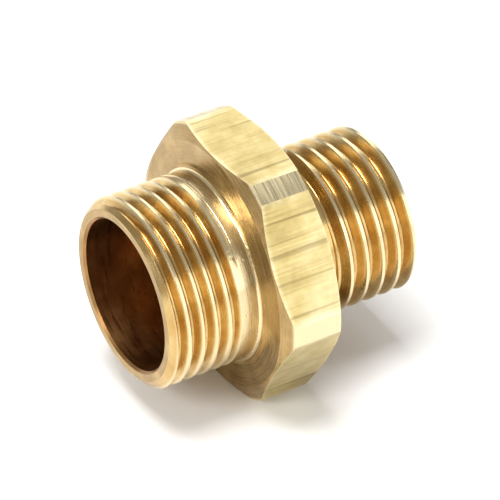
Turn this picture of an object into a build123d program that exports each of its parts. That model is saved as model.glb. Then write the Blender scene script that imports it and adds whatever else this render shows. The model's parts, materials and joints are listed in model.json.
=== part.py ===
"""Brass reducing coupling: a hexagon between a large fine thread and a smaller coarse thread.

The coupling lies along X with its large thread towards -X. The origin is on the bore's axis,
halfway along the hexagon, and one pair of wrench flats faces straight up and down.
"""

import os
from math import atan, ceil, degrees, radians, tan

from build123d import *

# hexagon
hex_across_flats = 31.75
corner_height = 3.45  # how far the turned corners' diameter exceeds the flats
hex_length = 8.4
hex_chamfer_angle = 25.0  # measured from the turned faces
large_side_inset = 0.2  # how far inside the flats the chamfer begins, on each side
small_side_inset = 0.85

# large thread, 14 turns to the inch
large_diameter = 23.8
large_pitch = 25.4 / 14
large_crest_width = 0.3
large_root_width = 0.3
large_stub_length = 12.2
large_full_thread = 8.2  # from the end, before the groove starts to rise out of the metal
large_lead_length = 0.9

# small thread, 11.5 turns to the inch
small_diameter = 21.0
small_pitch = 25.4 / 11.5
small_crest_width = 0.4
small_root_width = 0.42
small_stub_length = 14.4
small_lead_length = 0.6

# thread form, with each flank measured from square to the axis
flank_angle = 30.0
root_round_share = 0.33  # of the root's width
under_roots = 0.06  # how far the ends' chamfers and the small neck go below the thread's roots

# necks between the threads and the hexagon
large_neck_relief = 0.06  # how far the plain neck lies under the crests
large_neck_fillet = 0.35
collar_width = 0.75
collar_height = 0.3
small_neck_length = 4.2
small_neck_fillet = 0.8
small_groove_start = 1.0  # from the hexagon's face, where the neck removes the groove again
small_neck_shoulder = 0.9  # length of the slope from the neck up to the thread's crests

# stepped bore
large_wall = 1.32  # metal left between the wide bore and the large thread's roots
wide_bore_depth = 12.9
through_bore_diameter = 12.7
drill_point_angle = 118.0
mouth_chamfer = 0.3

flank_slope = tan(radians(flank_angle))
large_thread_depth = (large_pitch - large_crest_width - large_root_width) / (2 * flank_slope)
small_thread_depth = (small_pitch - small_crest_width - small_root_width) / (2 * flank_slope)

large_radius = large_diameter / 2
small_radius = small_diameter / 2
flat_radius = hex_across_flats / 2
corner_radius = flat_radius + corner_height / 2
large_root_radius = large_radius - large_thread_depth
small_root_radius = small_radius - small_thread_depth
wide_radius = large_root_radius - large_wall
through_radius = through_bore_diameter / 2
large_neck_radius = large_radius - large_neck_relief
small_neck_radius = small_root_radius - under_roots
collar_radius = large_neck_radius + collar_width
large_chamfer_start = flat_radius - large_side_inset
small_chamfer_start = flat_radius - small_side_inset

# places along the axis
large_face = -hex_length / 2
small_face = hex_length / 2
large_end = large_face - large_stub_length
small_end = small_face + small_stub_length
large_groove_end = large_end + large_full_thread
large_neck_start = large_groove_end + large_pitch + large_crest_width
small_neck_end = small_face + small_neck_length
wide_bore_end = large_end + wide_bore_depth

chamfer_slope = tan(radians(hex_chamfer_angle))
ledge_length = (wide_radius - through_radius) / tan(radians(drill_point_angle / 2))
# whole turns, with at least half a turn beyond the end
large_turns = ceil(large_full_thread / large_pitch + 0.5)
small_turns = ceil((small_stub_length - small_groove_start) / small_pitch + 0.5)


with BuildPart() as hexagon:
    # a length of hexagonal bar, with flats facing up and down
    with BuildSketch(Plane.YZ.offset(large_face)):
        RegularPolygon(flat_radius, 6, major_radius=False)
    extrude(amount=hex_length)

    # its corners are turned to a round and both its faces are chamfered
    with BuildSketch(Plane.XY):
        with BuildLine():
            Polyline(
                (large_face, 0),
                (large_face, large_chamfer_start),
                (large_face + (corner_radius - large_chamfer_start) * chamfer_slope, corner_radius),
                (small_face - (corner_radius - small_chamfer_start) * chamfer_slope, corner_radius),
                (small_face, small_chamfer_start),
                (small_face, 0),
                close=True,
            )
        make_face()
    revolve(axis=Axis.X, mode=Mode.INTERSECT)

with BuildPart() as coupling:
    # plain cylinders for the two threads, and a wider one for the collar beside the hexagon
    for radius, length in [
        (large_radius, large_end),
        (small_radius, small_end),
        (collar_radius, large_face - collar_height - large_neck_fillet),
    ]:
        with BuildSketch(Plane.YZ):
            Circle(radius)
        extrude(amount=length)

    # the large thread starts beyond the end and rises out of the metal in one last turn
    with BuildLine() as large_helix:
        Helix(
            large_pitch,
            large_turns * large_pitch,
            large_root_radius,
            center=(large_groove_end - large_turns * large_pitch, 0, 0),
            direction=(1, 0, 0),
        )
    with BuildLine() as fading_helix:
        Helix(
            large_pitch,
            large_pitch,
            large_root_radius,
            center=(large_groove_end, 0, 0),
            direction=(1, 0, 0),
            cone_angle=degrees(atan(large_thread_depth / large_pitch)),
        )

    # the small thread starts where its neck will be turned and runs out beyond the end
    with BuildLine() as small_helix:
        Helix(
            small_pitch,
            small_turns * small_pitch,
            small_root_radius,
            center=(small_face + small_groove_start, 0, 0),
            direction=(1, 0, 0),
        )

    # each groove is a V with a rounded bottom, cut along a helix at its roots; the cutter stands
    # only half a crest's width outside the crests, so that its neighbouring turns never meet
    for helix, depth, root_width, crest_width in [
        (large_helix, large_thread_depth, large_root_width, large_crest_width),
        (fading_helix, large_thread_depth, large_root_width, large_crest_width),
        (small_helix, small_thread_depth, small_root_width, small_crest_width),
    ]:
        cutter_height = depth + crest_width / 2
        root_half = root_width / 2
        cutter_half = root_half + cutter_height * flank_slope
        start = helix.line @ 0
        with BuildSketch(Plane(origin=start, x_dir=(1, 0, 0), z_dir=helix.line % 0)):
            with BuildLine():
                Polyline(
                    (-cutter_half, cutter_height),
                    (-root_half, 0),
                    (root_half, 0),
                    (cutter_half, cutter_height),
                    close=True,
                )
            section = make_face()
            fillet(section.vertices().group_by(Axis.Y)[0], root_round_share * root_width)
        sweep(path=helix.line, is_frenet=True, mode=Mode.SUBTRACT)

    # both ends get a lead chamfer that goes just below the roots
    for end, inward, radius, root_radius, lead_length in [
        (large_end, 1, large_radius, large_root_radius, large_lead_length),
        (small_end, -1, small_radius, small_root_radius, small_lead_length),
    ]:
        with BuildSketch(Plane.XY):
            with BuildLine():
                Polyline(
                    (end - inward, root_radius - under_roots),
                    (end, root_radius - under_roots),
                    (end + inward * lead_length, radius),
                    (end + inward * lead_length, radius + 1),
                    (end - inward, radius + 1),
                    close=True,
                )
            make_face()
        revolve(axis=Axis.X, mode=Mode.SUBTRACT)

    add(hexagon.part)

    # the plain neck of the large stub is turned just under its crests, up to the collar
    with BuildSketch(Plane.XY):
        with BuildLine():
            Polyline(
                (large_neck_start, collar_radius + 1),
                (large_neck_start, large_radius),
                (large_neck_start + large_neck_relief, large_neck_radius),
                (large_face - collar_height, large_neck_radius),
                (large_face - collar_height, collar_radius + 1),
                close=True,
            )
        section = make_face()
        foot = section.vertices().sort_by_distance((large_face - collar_height, large_neck_radius))[0]
        fillet(foot, large_neck_fillet)
    revolve(axis=Axis.X, mode=Mode.SUBTRACT)

    # the neck of the small stub is turned below its roots, up to the hexagon's face
    with BuildSketch(Plane.XY):
        with BuildLine():
            Polyline(
                (small_face, small_neck_radius),
                (small_neck_end - small_neck_shoulder, small_neck_radius),
                (small_neck_end, small_radius),
                (small_neck_end, small_radius + 1),
                (small_face, small_radius + 1),
                close=True,
            )
        section = make_face()
        foot = section.vertices().sort_by_distance((small_face, small_neck_radius))[0]
        fillet(foot, small_neck_fillet)
    revolve(axis=Axis.X, mode=Mode.SUBTRACT)

    # the wide bore ends in a drilled ledge, and the smaller bore runs on through the other end
    with BuildSketch(Plane.XY):
        with BuildLine():
            Polyline(
                (large_end - 1, 0),
                (large_end - 1, wide_radius + mouth_chamfer),
                (large_end, wide_radius + mouth_chamfer),
                (large_end + mouth_chamfer, wide_radius),
                (wide_bore_end, wide_radius),
                (wide_bore_end + ledge_length, through_radius),
                (small_end - mouth_chamfer, through_radius),
                (small_end, through_radius + mouth_chamfer),
                (small_end + 1, through_radius + mouth_chamfer),
                (small_end + 1, 0),
                close=True,
            )
        make_face()
    revolve(axis=Axis.X, mode=Mode.SUBTRACT)

coupling.part.label = "coupling_body"

os.makedirs("parts", exist_ok=True)
export_step(coupling.part, "parts/coupling_body.step")
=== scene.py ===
"""Studio view of a brass reducing coupling: two male threads either side of a drawn hexagon."""

import json
import math

import bmesh
import bpy
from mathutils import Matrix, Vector


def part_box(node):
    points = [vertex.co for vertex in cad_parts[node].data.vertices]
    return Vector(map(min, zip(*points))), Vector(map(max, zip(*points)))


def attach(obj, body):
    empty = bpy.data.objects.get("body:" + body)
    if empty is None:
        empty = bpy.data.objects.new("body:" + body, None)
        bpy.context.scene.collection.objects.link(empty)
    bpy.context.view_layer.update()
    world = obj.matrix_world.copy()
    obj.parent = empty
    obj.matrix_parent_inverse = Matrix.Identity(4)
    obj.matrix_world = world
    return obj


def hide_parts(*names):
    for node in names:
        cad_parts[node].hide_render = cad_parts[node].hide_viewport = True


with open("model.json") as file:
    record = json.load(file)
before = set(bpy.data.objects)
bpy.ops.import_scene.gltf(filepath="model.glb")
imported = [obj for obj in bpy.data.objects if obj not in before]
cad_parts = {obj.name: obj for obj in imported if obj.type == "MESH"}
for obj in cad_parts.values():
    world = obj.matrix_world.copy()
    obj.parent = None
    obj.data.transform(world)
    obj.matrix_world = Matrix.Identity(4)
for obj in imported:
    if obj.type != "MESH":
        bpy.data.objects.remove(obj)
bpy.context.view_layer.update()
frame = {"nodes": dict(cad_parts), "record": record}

# The coupling: one piece of brass, turned from a length of hexagonal bar and drilled through.
# It has four finishes: turned threads and necks, drawn flats, turned faces and a drilled bore.
source = frame["nodes"]["coupling_body"]
mounts = {mount["name"]: mount for mount in frame["record"]["mounts"]}
low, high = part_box("coupling_body")
large_crest_radius = mounts["large_thread"]["dims"]["r_mm"] / 1000
small_crest_radius = mounts["small_thread"]["dims"]["r_mm"] / 1000
hexagon_face = mounts["small_shoulder"]["pos_m"][0]
flat_height = high.z
corner_radius = high.y


def linear(hex_code):
    """An sRGB hex colour as linear red, green, blue and alpha."""
    parts = [int(hex_code[i : i + 2], 16) / 255 for i in (1, 3, 5)]
    return [c / 12.92 if c <= 0.04045 else ((c + 0.055) / 1.055) ** 2.4 for c in parts] + [1.0]


def add(tree, kind, settings=None, stops=(), **inputs):
    """Adds a node with its settings, its colour stops, and its inputs, each a value or a socket."""
    node = tree.nodes.new(kind)
    for name, value in (settings or {}).items():
        setattr(node, name, value)
    for i, (position, hex_code) in enumerate(stops):
        elements = node.color_ramp.elements
        element = elements[i] if i < 2 else elements.new(position)
        element.position = position
        element.color = linear(hex_code)
    for name, value in inputs.items():
        key = int(name[1:]) if name[0] == "i" and name[1:].isdigit() else name.replace("_", " ")
        if isinstance(value, bpy.types.NodeSocket):
            tree.links.new(value, node.inputs[key])
        else:
            node.inputs[key].default_value = value
    return node.outputs


def per_metre(size_mm):
    """The scale of a pattern whose marks are this many millimetres across."""
    return 1000 / size_mm


def new_brass(name):
    """A new brass material with its node tree, its shader and its object coordinates."""
    material = bpy.data.materials.new(name)
    material.use_nodes = True
    tree = material.node_tree
    shader = tree.nodes["Principled BSDF"]
    shader.inputs["Metallic"].default_value = 1.0
    return material, tree, shader, add(tree, "ShaderNodeTexCoord")["Object"]


def turned_place(tree, place):
    """Coordinates that hardly change round the axis, so that a pattern becomes tool rings."""
    drift = 0.0006
    split = add(tree, "ShaderNodeSeparateXYZ", Vector=place)
    across = add(tree, "ShaderNodeCombineXYZ", Y=split["Y"], Z=split["Z"])[0]
    radius = add(tree, "ShaderNodeVectorMath", {"operation": "LENGTH"}, i0=across)["Value"]
    heading = add(tree, "ShaderNodeVectorMath", {"operation": "NORMALIZE"}, i0=across)[0]
    slow = add(tree, "ShaderNodeVectorMath", {"operation": "SCALE"}, i0=heading, Scale=drift)[0]
    feed = add(tree, "ShaderNodeMath", {"operation": "ADD"}, i0=split["X"], i1=radius)[0]
    step = add(tree, "ShaderNodeCombineXYZ", X=feed)[0]
    made = add(tree, "ShaderNodeVectorMath", {"operation": "ADD"}, i0=slow, i1=step)[0]
    return made, radius, split["X"]


# Its threads and necks: golden brass straight off the lathe. Fine rings follow the tool, drawn a
# little coarser than real so that they show, and crests carry a painted highlight and light nicks.
ring_size = 1 / 9
patch_size = 3.85
nick_size = 2 / 3
highlight_start = 0.0004
highlight_end = 0.0001
changeover = 0.0002
threads, tree, shader, place = new_brass("brass_turned_threads")
rings, radius, along = turned_place(tree, place)
fine = add(tree, "ShaderNodeTexNoise", Vector=rings, Scale=per_metre(ring_size), Detail=3.0,
           Roughness=0.6)[0]
patches = add(tree, "ShaderNodeTexNoise", Vector=place, Scale=per_metre(patch_size), Detail=4.0,
              Roughness=0.6)[0]
tone = add(tree, "ShaderNodeValToRGB", Fac=patches,
           stops=[(0.3, "#BC9557"), (0.55, "#D0AF74"), (0.75, "#E0C78F")])[0]
on_small = add(tree, "ShaderNodeMapRange", Value=radius, From_Min=small_crest_radius - highlight_start,
               From_Max=small_crest_radius - highlight_end)[0]
on_large = add(tree, "ShaderNodeMapRange", Value=radius, From_Min=large_crest_radius - highlight_start,
               From_Max=large_crest_radius - highlight_end)[0]
large_side = add(tree, "ShaderNodeMapRange", Value=along, From_Min=changeover - hexagon_face,
                 From_Max=-hexagon_face)[0]
crest = add(tree, "ShaderNodeMix", {"data_type": "FLOAT"}, i0=large_side, i2=on_small, i3=on_large)[0]
# Painted highlight: the crests, and the necks at crest radius, are painted paler.
highlit = add(tree, "ShaderNodeMix", {"data_type": "RGBA"}, i0=crest, i6=tone, i7=linear("#EAD6AA"))[2]
tree.links.new(highlit, shader.inputs["Base Color"])
gloss = add(tree, "ShaderNodeMapRange", Value=fine, From_Min=0.3, From_Max=0.7,
            To_Min=0.14, To_Max=0.3)[0]
tree.links.new(gloss, shader.inputs["Roughness"])
ringed = add(tree, "ShaderNodeBump", Height=fine, Strength=0.25, Distance=0.00002)[0]
knocks = add(tree, "ShaderNodeTexNoise", Vector=place, Scale=per_metre(nick_size), Detail=2.0)[0]
nicks = add(tree, "ShaderNodeMapRange", Value=knocks, From_Min=0.27, From_Max=0.35)[0]
nicked = add(tree, "ShaderNodeMath", {"operation": "MULTIPLY"}, i0=nicks, i1=crest)[0]
surface = add(tree, "ShaderNodeBump", Height=nicked, Strength=0.3, Distance=0.00003, Normal=ringed)[0]
tree.links.new(surface, shader.inputs["Normal"])

# Its flats: the cold-drawn skin of the bar, paler and greener than fresh turned metal. Draw lines,
# drawn coarser than real, run along the bar, a few deep and dark, and the edges carry a painted
# highlight in patches.
line_size = 0.238
score_size = 0.91
line_stretch = 0.03
blotch_size = 5.26
dent_size = 2.38
chamfer_slope = math.tan(math.radians(25))
chamfer_line = 0.0115
edge_highlight_width = 0.00055
flats, tree, shader, place = new_brass("brass_drawn_flats")
drawn = add(tree, "ShaderNodeMapping", Vector=place, Scale=(line_stretch, 1.0, 1.0))[0]
lines = add(tree, "ShaderNodeTexNoise", Vector=drawn, Scale=per_metre(line_size), Detail=4.0,
            Roughness=0.65)[0]
scores = add(tree, "ShaderNodeTexNoise", Vector=drawn, Scale=per_metre(score_size), Detail=1.0)[0]
blotches = add(tree, "ShaderNodeTexNoise", Vector=place, Scale=per_metre(blotch_size), Detail=5.0,
               Roughness=0.6)[0]
dimples = add(tree, "ShaderNodeTexVoronoi", Vector=place, Scale=per_metre(dent_size))["Distance"]
tone = add(tree, "ShaderNodeValToRGB", Fac=blotches,
           stops=[(0.3, "#B5A067"), (0.5, "#CDBA80"), (0.72, "#E2D4A4")])[0]
deep = add(tree, "ShaderNodeMapRange", Value=scores, From_Min=0.62, From_Max=0.7, To_Max=0.55)[0]
scored = add(tree, "ShaderNodeMix", {"data_type": "RGBA"}, i0=deep, i6=tone, i7=linear("#76623A"))[2]
rings, radius, along = turned_place(tree, place)
end = add(tree, "ShaderNodeMath", {"operation": "ABSOLUTE"}, i0=along)[0]
fall = add(tree, "ShaderNodeMath", {"operation": "MULTIPLY_ADD"}, i0=radius, i1=chamfer_slope, i2=end)[0]
near_end = add(tree, "ShaderNodeMapRange", Value=fall, From_Min=chamfer_line - edge_highlight_width,
               From_Max=chamfer_line)[0]
near_corner = add(tree, "ShaderNodeMapRange", Value=radius, From_Min=corner_radius - highlight_start,
                  From_Max=corner_radius)[0]
near_edge = add(tree, "ShaderNodeMath", {"operation": "MAXIMUM"}, i0=near_end, i1=near_corner)[0]
patchy = add(tree, "ShaderNodeMapRange", Value=blotches, From_Min=0.38, From_Max=0.58,
             To_Min=0.15, To_Max=0.85)[0]
# Painted highlight: the chamfer edges and corner lands of the flats are painted bright in patches.
edge_highlight = add(tree, "ShaderNodeMath", {"operation": "MULTIPLY"}, i0=near_edge, i1=patchy)[0]
highlit_edges = add(tree, "ShaderNodeMix", {"data_type": "RGBA"}, i0=edge_highlight, i6=scored, i7=linear("#F2E6C0"))[2]
tree.links.new(highlit_edges, shader.inputs["Base Color"])
gloss = add(tree, "ShaderNodeMapRange", Value=lines, From_Min=0.3, From_Max=0.7,
            To_Min=0.26, To_Max=0.46)[0]
tree.links.new(gloss, shader.inputs["Roughness"])
height = add(tree, "ShaderNodeMath", {"operation": "SUBTRACT"}, i0=lines, i1=deep)[0]
lined = add(tree, "ShaderNodeBump", Height=height, Strength=0.45, Distance=0.00004)[0]
dents = add(tree, "ShaderNodeMapRange", Value=dimples, From_Max=0.14)[0]
surface = add(tree, "ShaderNodeBump", Height=dents, Strength=0.3, Distance=0.00004, Normal=lined)[0]
tree.links.new(surface, shader.inputs["Normal"])

# Its faces and corner lands: turned with a coarse feed, so that rings catch the light, and the
# valleys between the rings are painted darker as shade. Handling has dulled them to a greyer,
# browner brass than the threads, and the lands are painted pale as a highlight.
feed_size = 0.238
patch_size = 4.76
faces, tree, shader, place = new_brass("brass_turned_faces")
rings, radius, along = turned_place(tree, place)
feed = add(tree, "ShaderNodeTexNoise", Vector=rings, Scale=per_metre(feed_size), Detail=2.0,
           Roughness=0.6)[0]
patches = add(tree, "ShaderNodeTexNoise", Vector=place, Scale=per_metre(patch_size), Detail=4.0,
              Roughness=0.6)[0]
tone = add(tree, "ShaderNodeValToRGB", Fac=patches,
           stops=[(0.3, "#A08355"), (0.55, "#BC9D68"), (0.75, "#D5BC88")])[0]
# Painted shade: the valleys between the turned rings are painted darker.
valley_shade = add(tree, "ShaderNodeMapRange", Value=feed, From_Min=0.4, From_Max=0.6,
              To_Min=0.32, To_Max=0.0)[0]
ringed = add(tree, "ShaderNodeMix", {"data_type": "RGBA"}, i0=valley_shade, i6=tone, i7=linear("#7C6A4A"))[2]
# Painted highlight: the corner lands are painted pale.
land = add(tree, "ShaderNodeMapRange", Value=radius, From_Min=corner_radius - highlight_start,
           From_Max=corner_radius - highlight_end, To_Max=0.92)[0]
highlit = add(tree, "ShaderNodeMix", {"data_type": "RGBA"}, i0=land, i6=ringed, i7=linear("#E9DAB0"))[2]
tree.links.new(highlit, shader.inputs["Base Color"])
gloss = add(tree, "ShaderNodeMapRange", Value=feed, From_Min=0.3, From_Max=0.7,
            To_Min=0.2, To_Max=0.4)[0]
tree.links.new(gloss, shader.inputs["Roughness"])
surface = add(tree, "ShaderNodeBump", Height=feed, Strength=0.38, Distance=0.00007)[0]
tree.links.new(surface, shader.inputs["Normal"])

# Its bore: drilled, and deeper and redder in tone than the outside.
# Marks of the drill run round it, and it is rougher than the threads.
mark_size = 0.385
patch_size = 3.33
bore, tree, shader, place = new_brass("brass_drilled_bore")
rings, radius, along = turned_place(tree, place)
marks = add(tree, "ShaderNodeTexNoise", Vector=rings, Scale=per_metre(mark_size), Detail=4.0,
            Roughness=0.7)[0]
patches = add(tree, "ShaderNodeTexNoise", Vector=place, Scale=per_metre(patch_size), Detail=4.0)[0]
tone = add(tree, "ShaderNodeValToRGB", Fac=patches,
           stops=[(0.3, "#8E633A"), (0.55, "#AB7E4C"), (0.75, "#C39A66")])[0]
tree.links.new(tone, shader.inputs["Base Color"])
gloss = add(tree, "ShaderNodeMapRange", Value=marks, From_Min=0.3, From_Max=0.7,
            To_Min=0.24, To_Max=0.42)[0]
tree.links.new(gloss, shader.inputs["Roughness"])
surface = add(tree, "ShaderNodeBump", Height=marks, Strength=0.25, Distance=0.00003)[0]
tree.links.new(surface, shader.inputs["Normal"])

# Its shape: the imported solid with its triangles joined. Each triangle takes its finish from the
# surface that it lies on, and only edges sharper than those of the curved surfaces stay sharp.
joining_distance = 1e-7
sharp_angle = math.radians(20)
outside_collar = 0.0128
flat_tolerance = 2e-6
flat_directions = [
    Vector((0.0, math.sin(math.radians(60 * i)), math.cos(math.radians(60 * i)))) for i in range(6)
]
body_mesh = bpy.data.meshes.new("coupling")
build = bmesh.new()
build.from_mesh(source.data)
bmesh.ops.remove_doubles(build, verts=build.verts, dist=joining_distance)
for face in build.faces:
    face.smooth = True
    middle = face.calc_center_median()
    outward = Vector((0.0, middle.y, middle.z))
    reach = max(middle.dot(direction) for direction in flat_directions)
    square_to_axis = abs(face.normal.x) > 0.999
    on_hexagon = abs(middle.x) < hexagon_face and outward.length > outside_collar
    if face.normal.dot(outward.normalized()) < -0.02:
        face.material_index = 3
    elif reach > flat_height - flat_tolerance and abs(face.normal.x) < 0.02:
        face.material_index = 1
    elif square_to_axis or on_hexagon:
        face.material_index = 2
    else:
        face.material_index = 0
for edge in build.edges:
    if len(edge.link_faces) == 2 and edge.calc_face_angle() > sharp_angle:
        edge.smooth = False
build.to_mesh(body_mesh)
build.free()
for finish in (threads, flats, faces, bore):
    body_mesh.materials.append(finish)
coupling = bpy.data.objects.new("coupling", body_mesh)
bpy.context.collection.objects.link(coupling)
even = coupling.modifiers.new("even_normals", "WEIGHTED_NORMAL")
even.keep_sharp = True
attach(coupling, "root")
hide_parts("coupling_body")

# The floor: a wide pale sheet, matt and nearly white, that the coupling lies on with one flat.
# Faint broad mottling keeps it from being one dead colour.
floor_reach = 3.0
mottle_size = 500 / 3
floor_mesh = bpy.data.meshes.new("floor")
build = bmesh.new()
bmesh.ops.create_grid(build, x_segments=1, y_segments=1, size=floor_reach)
bmesh.ops.translate(build, verts=build.verts, vec=(0.0, 0.0, low.z))
build.to_mesh(floor_mesh)
build.free()
floor = bpy.data.objects.new("floor", floor_mesh)
bpy.context.collection.objects.link(floor)
sheet = bpy.data.materials.new("pale_sheet")
sheet.use_nodes = True
tree = sheet.node_tree
shader = tree.nodes["Principled BSDF"]
shader.inputs["Roughness"].default_value = 0.85
place = add(tree, "ShaderNodeTexCoord")["Object"]
mottle = add(tree, "ShaderNodeTexNoise", Vector=place, Scale=per_metre(mottle_size), Detail=2.0)[0]
tone = add(tree, "ShaderNodeValToRGB", Fac=mottle, stops=[(0.3, "#F4F4F3"), (0.7, "#FAFAFA")])[0]
tree.links.new(tone, shader.inputs["Base Color"])
floor_mesh.materials.append(sheet)

# The light: a soft overhead box keeps the floor nearly white, a broad one at the front right is
# what the nearest flat mirrors, one behind lights the upper flat, and one at the left draws streaks.
for name, spot, width, watts in [
    ("light_top", (-0.1, 0.0, 0.7), 0.34, 4.6),
    ("light_front", (0.29, -0.6, 0.22), 0.45, 1.0),
    ("light_back", (0.3, 0.5, 0.44), 0.4, 0.75),
    ("light_left", (-0.5, -0.1, 0.36), 0.2, 1.5),
]:
    data = bpy.data.lights.new(name, "AREA")
    data.size = width
    data.energy = watts
    lamp = bpy.data.objects.new(name, data)
    bpy.context.collection.objects.link(lamp)
    lamp.location = spot
    lamp.rotation_euler = (-Vector(spot)).to_track_quat("-Z", "Y").to_euler()

# The room: an even pale grey that fills the shadows and gives the brass something to mirror.
world = bpy.data.worlds.new("studio")
world.use_nodes = True
room = world.node_tree.nodes["Background"]
room.inputs["Color"].default_value = linear("#E8E8E6")
room.inputs["Strength"].default_value = 0.52
bpy.context.scene.world = world
bpy.context.scene.view_settings.view_transform = "Standard"

# The camera: looks down at the open end of the large thread, which points to the lower left.
azimuth = math.radians(-31)
elevation = math.radians(37)
camera_distance = 0.5
back = Vector((
    math.sin(azimuth) * math.cos(elevation),
    -math.cos(azimuth) * math.cos(elevation),
    math.sin(elevation),
))
camera_data = bpy.data.cameras.new("camera")
camera_data.lens = 300
camera_data.clip_start = 0.01
camera_data.clip_end = 10
camera = bpy.data.objects.new("camera", camera_data)
bpy.context.collection.objects.link(camera)
camera.location = (low + high) / 2 + back * camera_distance
camera.rotation_euler = (-back).to_track_quat("-Z", "Y").to_euler()
bpy.context.scene.camera = camera
